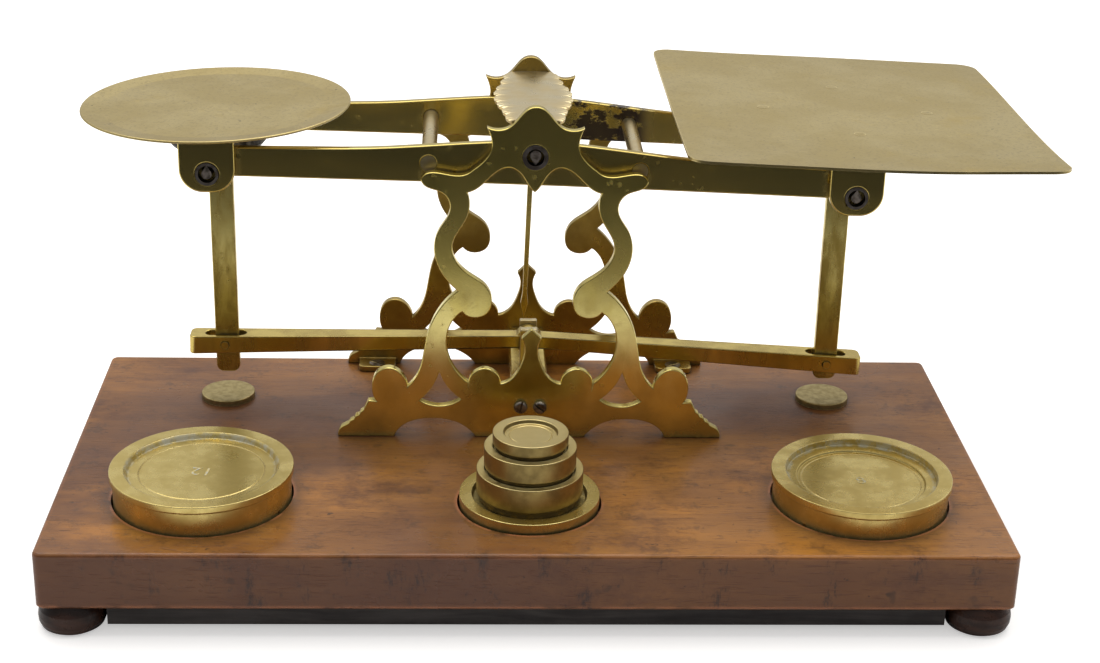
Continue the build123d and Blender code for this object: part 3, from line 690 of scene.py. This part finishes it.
plate_length, plate_depth, plate_corner, plate_edge_round = 0.121, 0.140, 0.0065, 0.0003
plate_low, plate_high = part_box("letter_plate")
plate_middle = (plate_low + plate_high) / 2
plate_top, plate_lean = 0.13794, radians(1.5)
held_flat, free_span = 0.034, 0.056
corner_rise, rise_to_right, rise_to_back, twist = 0.0012, -0.0002, -0.0012, -0.0006
spring_curve, wave_height, waves_per_metre = 1.4, 0.0003, 28


def plate_warp(x, y):
    """How far the thin plate has sprung up or down, beyond the part that its rivets hold flat."""
    free = min(1.0, max(0.0, (x * x + y * y) ** 0.5 - held_flat) / free_span)
    across, along = 2 * x / plate_length, 2 * y / plate_depth
    lift = corner_rise + rise_to_right * across + rise_to_back * along + twist * across * along
    wave = wave_height * noise.noise(Vector((x * waves_per_metre, y * waves_per_metre, 0.4)))
    return free ** spring_curve * lift + free * wave


def letter_sheet(columns=60, rows=70):
    """A thin sheet with round corners, laid out as an even grid of faces on both sides."""
    work = bmesh.new()
    half_x, half_y = plate_length / 2, plate_depth / 2
    sides = []
    for thickness in (0.0, sheet):
        grid = []
        for row in range(rows + 1):
            line = []
            for column in range(columns + 1):
                x, y = half_x * (2 * column / columns - 1), half_y * (2 * row / rows - 1)
                past_x = max(0.0, abs(x) - half_x + plate_corner)
                past_y = max(0.0, abs(y) - half_y + plate_corner)
                over = Vector((past_x, past_y))
                if over.length > plate_corner:
                    shrunk = over * (plate_corner / over.length)
                    x -= (over.x - shrunk.x) * (1 if x > 0 else -1)
                    y -= (over.y - shrunk.y) * (1 if y > 0 else -1)
                line.append(work.verts.new((x, y, plate_warp(x, y) - thickness)))
            grid.append(line)
        sides.append(grid)
    top, under = sides
    for row in range(rows):
        for column in range(columns):
            for grid, order in ((top, (0, 1, 2, 3)), (under, (3, 2, 1, 0))):
                square = [grid[row][column], grid[row][column + 1],
                          grid[row + 1][column + 1], grid[row + 1][column]]
                work.faces.new([square[corner] for corner in order])
    border = [(0, column) for column in range(columns)] + [(row, columns) for row in range(rows)]
    border += [(rows, column) for column in range(columns, 0, -1)] + [(row, 0) for row in range(rows, 0, -1)]
    for (row, column), (next_row, next_column) in zip(border, border[1:] + border[:1]):
        work.faces.new([top[row][column], under[row][column],
                        under[next_row][next_column], top[next_row][next_column]])
    rim = [edge for edge in work.edges if edge.calc_face_angle(0) > radians(50)]
    bmesh.ops.bevel(work, geom=rim, offset=plate_edge_round, segments=2, affect="EDGES")
    bmesh.ops.recalc_face_normals(work, faces=work.faces)
    mesh = bpy.data.meshes.new("letter_tray")
    work.to_mesh(mesh)
    work.free()
    return mesh


fitted(letter_sheet(), "letter_tray", "letter_side", "sheet_brass", sheet_brass,
       "letter_plate", at=set_down(plate_middle.x, plate_middle.y, plate_top, plate_lean, "Y"))
dress(sheet_brass, "letter_rivet_1", "letter_rivet_2", "letter_rivet_3", "letter_rivet_4")
dress(bar_brass, "letter_spider")

lead_light = (0.2, 0.195, 0.18, 1.0)
lead_dark = (0.035, 0.032, 0.03, 1.0)
dress(old_steel("dull lead", lead_light, lead_dark, 0.5), "balance_weight")

# ---- Weights ----------------------------------------------------------------------------------
# Turned brass discs, each with a raised lip. The two large ones lie in wells of the board, and the
# four small ones nest on one another. Old polish has dried white in their corners.

polish_residue = (0.55, 0.55, 0.46, 1.0)
large_gold, large_deep = (0.74, 0.59, 0.22, 1.0), (0.62, 0.48, 0.16, 1.0)
small_gold, small_deep = (0.4, 0.3, 0.11, 1.0), (0.27, 0.2, 0.075, 1.0)
large_brass = old_brass("polished weight brass", large_gold, large_deep, 0.27, patch=110.0, grime_and_shade=0.75,
                        relief=0.000012)
small_brass = old_brass("small weight brass with painted top light", small_gold, small_deep, 0.34, patch=140.0, grime_and_shade=0.6)
ring_at, ring_half, ring_above = 0.0239, 0.0013, 0.006


def dried_ring(tree, place):
    """Broken white ring in the corner under the lip of a large weight."""
    level_part = {0: place, 1: (1, 1, 0)}
    flat = put(tree, "ShaderNodeVectorMath", level_part, operation="MULTIPLY").outputs["Vector"]
    out = put(tree, "ShaderNodeVectorMath", {0: flat}, operation="LENGTH").outputs["Value"]
    away = worked(tree, "ABSOLUTE", worked(tree, "SUBTRACT", out, ring_at))
    ring = stepped(tree, away, ring_half, 0.0002)
    broken = stepped(tree, clouded(tree, place, 300.0, 5.0, 0.7), 0.38, 0.62, 0.0, 0.8)
    height = put(tree, "ShaderNodeSeparateXYZ", {0: place}).outputs["Z"]
    above = stepped(tree, height, ring_above, ring_above + 0.001)
    return times(tree, times(tree, ring, broken), above)


laid_over(large_brass, polish_residue, dried_ring, crusty=True)


foot_inset, side_inset, side_from, to_middle = 0.0015, 0.0009, 0.0006, 0.1


def weight(node, name, body, material, *top):
    """A weight turned to the CAD piece's size. Its top is given as insets and drops from its lip."""
    low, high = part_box(node)
    middle = (low + high) / 2
    radius, height = (high.x - low.x) / 2, high.z - low.z
    profile = [(0, 0), (radius - foot_inset, 0), (radius - side_inset, side_from)]
    for inset, drop in top:
        profile.append((max(0.0, radius - inset), height - drop))
    return fitted(turned(name, profile), name, body, "weight_brass", material, node,
                  at=set_down(middle.x, middle.y, low.z))


weight("weight_12_oz", "twelve_ounce_weight", "twelve_ounce", large_brass,
       (0.0009, 0.0026), (0, 0.0022), (0, 0), (0.0047, 0), (0.0052, 0.0006), (0.0058, 0.0019),
       (0.0091, 0.0019), (0.0093, 0.0022), (0.0096, 0.0019), (to_middle, 0.0021))
weight("weight_8_oz", "eight_ounce_weight", "eight_ounce", large_brass,
       (0.0009, 0.0026), (0, 0.0022), (0, 0), (0.0047, 0), (0.0051, 0.0021), (0.0084, 0.0023),
       (0.0087, 0.0031), (0.0097, 0.0031), (0.0099, 0.0033), (0.0101, 0.0031), (to_middle, 0.0032))
# The tops of the small weights are painted lighter than their sides: painted light from above.
small_top_light_gold = (0.82, 0.68, 0.32, 1.0)
laid_over(small_brass, small_top_light_gold,
          lambda tree, place: stepped(tree, facing_up(tree), 0.4, 0.9, 0.0, 0.75))

figure_height = 0.00005
figure_polish, tree, shader, place = new_finish("dried polish in a figure", Roughness=0.7)
filled = stepped(tree, clouded(tree, place, 900.0, 4.0), 0.4, 0.6)
joined(tree, shader, Base_Color=mixed(tree, filled, large_gold, polish_residue))


def punched_number(number, node, body, drop, height, turn):
    """A number struck in a weight's floor and filled with dried polish."""
    low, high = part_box(node)
    figures = bpy.data.curves.new(f"number {number}", "FONT")
    figures.body = number
    figures.size = height
    figures.align_x = "CENTER"
    figures.align_y = "CENTER"
    figures.extrude = figure_height
    shaped = bpy.data.objects.new(f"number {number}", figures)
    mesh = bpy.data.meshes.new_from_object(shaped)
    bpy.data.objects.remove(shaped)
    mesh.materials.clear()
    mesh.materials.append(figure_polish)
    piece = bpy.data.objects.new(f"number_{number}", mesh)
    bpy.context.scene.collection.objects.link(piece)
    middle = (low + high) / 2
    piece.matrix_world = set_down(middle.x, middle.y, high.z - drop, turn)
    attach(piece, body)


punched_number("12", "weight_12_oz", "twelve_ounce", drop=0.00206, height=0.0074, turn=radians(172))
punched_number("8", "weight_8_oz", "eight_ounce", drop=0.00313, height=0.0066, turn=radians(6))
weight("weight_4_oz", "four_ounce_weight", "four_ounce", large_brass,
       (0, 0.003), (0, 0), (0.0041, 0), (0.0045, 0.0018), (to_middle, 0.0018))
weight("weight_2_oz", "two_ounce_weight", "two_ounce", small_brass,
       (0.0009, 0.0085), (0, 0.0078), (0, 0), (0.0025, 0), (0.0028, 0.0016), (to_middle, 0.0016))
weight("weight_1_oz", "one_ounce_weight", "one_ounce", small_brass,
       (0.0009, 0.0072), (0, 0.0066), (0, 0), (0.0028, 0), (0.0031, 0.0014), (to_middle, 0.0014))
weight("weight_half_oz", "half_ounce_weight", "half_ounce", small_brass,
       (0.0008, 0.0042), (0, 0.0036), (0, 0), (0.0034, 0), (0.0038, 0.0013), (0.0051, 0.0013),
       (0.0053, 0.0015), (0.0055, 0.0013), (to_middle, 0.0014))

# ---- Floor, light and camera ------------------------------------------------------------------
# A wide pale sheet under a large soft light, with the room in front left dim so that the upright
# brass faces stay dark.

floor_mesh = bpy.data.meshes.new("studio_floor")
reach = 3.0
floor_mesh.from_pydata([(-reach, -reach, 0), (reach, -reach, 0), (reach, reach, 0), (-reach, reach, 0)], [],
                       [(0, 1, 2, 3)])
floor = bpy.data.objects.new("studio_floor", floor_mesh)
bpy.context.scene.collection.objects.link(floor)
floor_pale, floor_unlit = (0.9, 0.89, 0.88, 1.0), (0.03, 0.03, 0.03, 1.0)
floor_glow, no_glow = (1, 0.99, 0.98, 1), (0, 0, 0, 1)
bright_until, dim_from = -0.168, -0.26
floor_paint, tree, shader, place = new_finish("pale floor", Roughness=0.9, Specular_IOR_Level=0.1,
                                              Emission_Strength=0.48)
spot = put(tree, "ShaderNodeNewGeometry").outputs["Position"]
ahead = put(tree, "ShaderNodeSeparateXYZ", {0: spot}).outputs["Y"]
mirrored = put(tree, "ShaderNodeLightPath").outputs["Is Glossy Ray"]
lit = put(tree, "ShaderNodeLightPath").outputs["Is Camera Ray"]
dim = times(tree, mirrored, stepped(tree, ahead, bright_until, dim_from))
joined(tree, shader, Base_Color=mixed(tree, dim, floor_pale, floor_unlit),
       Emission_Color=mixed(tree, lit, no_glow, floor_glow))
floor_mesh.materials.append(floor_paint)

world = bpy.data.worlds.new("studio")
bpy.context.scene.world = world
world.use_nodes = True
tree = world.node_tree
way = put(tree, "ShaderNodeTexCoord").outputs["Generated"]
parts = put(tree, "ShaderNodeSeparateXYZ", {0: way})
horizon_light, zenith_light, rear_light = 0.03, 0.5, 0.4
above = stepped(tree, parts.outputs["Z"], 0.0, 0.8, horizon_light, zenith_light)
behind = stepped(tree, parts.outputs["Y"], -0.8, 0.5, 0.0, rear_light)
level = plus(tree, above, behind)
tree.nodes["Background"].inputs["Color"].default_value = (1, 1, 1, 1)
seen = put(tree, "ShaderNodeLightPath").outputs["Is Camera Ray"]
tree.links.new(worked(tree, "MAXIMUM", level, seen), tree.nodes["Background"].inputs["Strength"])

lamp_place, lamp_size = Vector((0.0, 0.25, 1.05)), (1.5, 1.0)
lamp_power, lamp_colour = 8.5, (1.0, 0.98, 0.95)
lamp = bpy.data.lights.new("overhead", "AREA")
lamp.shape = "RECTANGLE"
lamp.size, lamp.size_y = lamp_size
lamp.energy = lamp_power
lamp.color = lamp_colour
softbox = bpy.data.objects.new("overhead", lamp)
softbox.location = lamp_place
softbox.rotation_euler = (-lamp_place).to_track_quat("-Z", "Y").to_euler()
bpy.context.scene.collection.objects.link(softbox)

stand_off = Vector((-0.021145, -0.616468))
camera_height, lens_length, sensor_width, near_clip = 0.329279, 65.53, 36.0, 0.01
heading, dip, roll = radians(2.649), radians(22.629), radians(1.451)
centre = (board_low + board_high) / 2
forward = Vector((sin(heading) * cos(dip), cos(heading) * cos(dip), -sin(dip)))
level_right = Vector((cos(heading), -sin(heading), 0))
level_up = level_right.cross(forward)
right = cos(roll) * level_right + sin(roll) * level_up
up = cos(roll) * level_up - sin(roll) * level_right
eye = bpy.data.cameras.new("camera")
eye.sensor_width = sensor_width
eye.lens = lens_length
eye.clip_start = near_clip
camera = bpy.data.objects.new("camera", eye)
turn = Matrix((right, up, -forward)).transposed()
spot = Vector((centre.x + stand_off.x, centre.y + stand_off.y, camera_height))
camera.matrix_world = Matrix.Translation(spot) @ turn.to_4x4()
bpy.context.scene.collection.objects.link(camera)
bpy.context.scene.camera = camera
bpy.context.scene.view_settings.view_transform = "Standard"
bpy.context.scene.cycles.use_denoising = True
